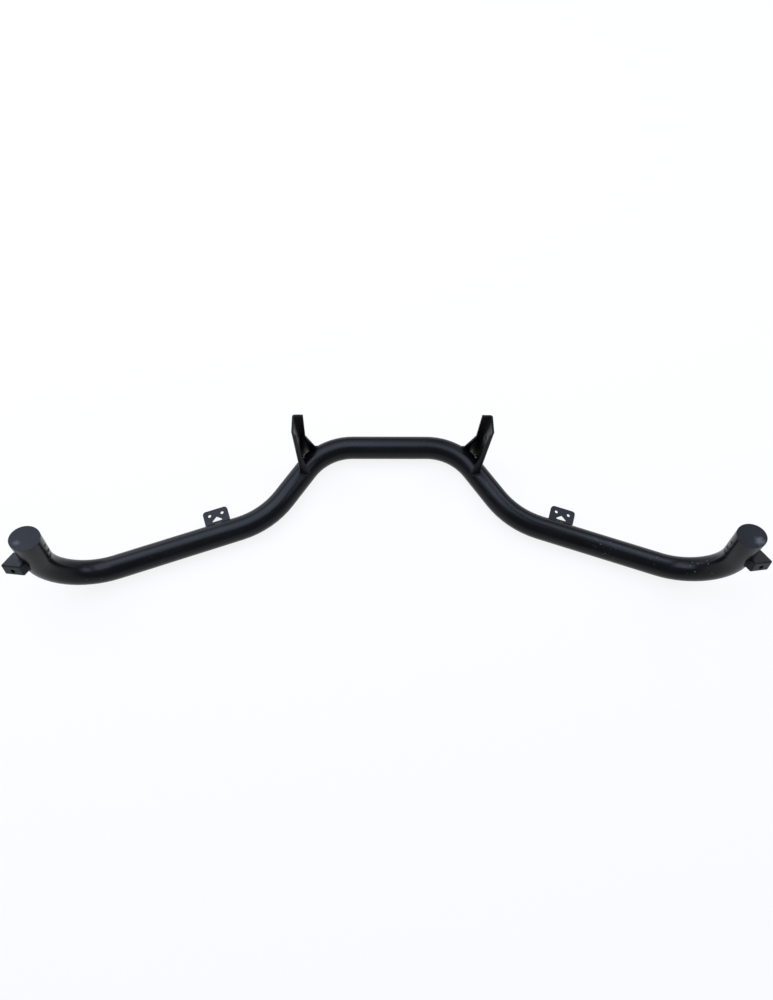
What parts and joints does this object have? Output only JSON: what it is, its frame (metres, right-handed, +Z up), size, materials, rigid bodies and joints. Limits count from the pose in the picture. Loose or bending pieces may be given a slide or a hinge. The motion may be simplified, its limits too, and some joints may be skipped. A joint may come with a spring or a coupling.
{
  "type": "atv rear bumper",
  "caption": "Bent black steel tube bumper with upturned closed ends, upright folded frame brackets, accessory tabs and folded end brackets, to be bolted to a quad's rear frame",
  "frame": {"origin": "middle of the bounding box's base, on the surface that the tube lies on, as pictured", "axes": "X across the vehicle and along the longest side, Y towards the centre bar (up when fitted), Z up from the floor (forward when fitted)"},
  "size_m": [1.427, 0.3445, 0.2222],
  "materials": {
    "black_coat": "satin black powder coat"
  },
  "bodies": {
    "root": {"main_tube": "black_coat", "end_cap_left": "black_coat", "end_cap_right": "black_coat", "frame_bracket_left": "black_coat", "frame_bracket_right": "black_coat", "tab_left": "black_coat", "tab_right": "black_coat", "side_bracket_left": "black_coat", "side_bracket_right": "black_coat"}
  },
  "joints": []
}
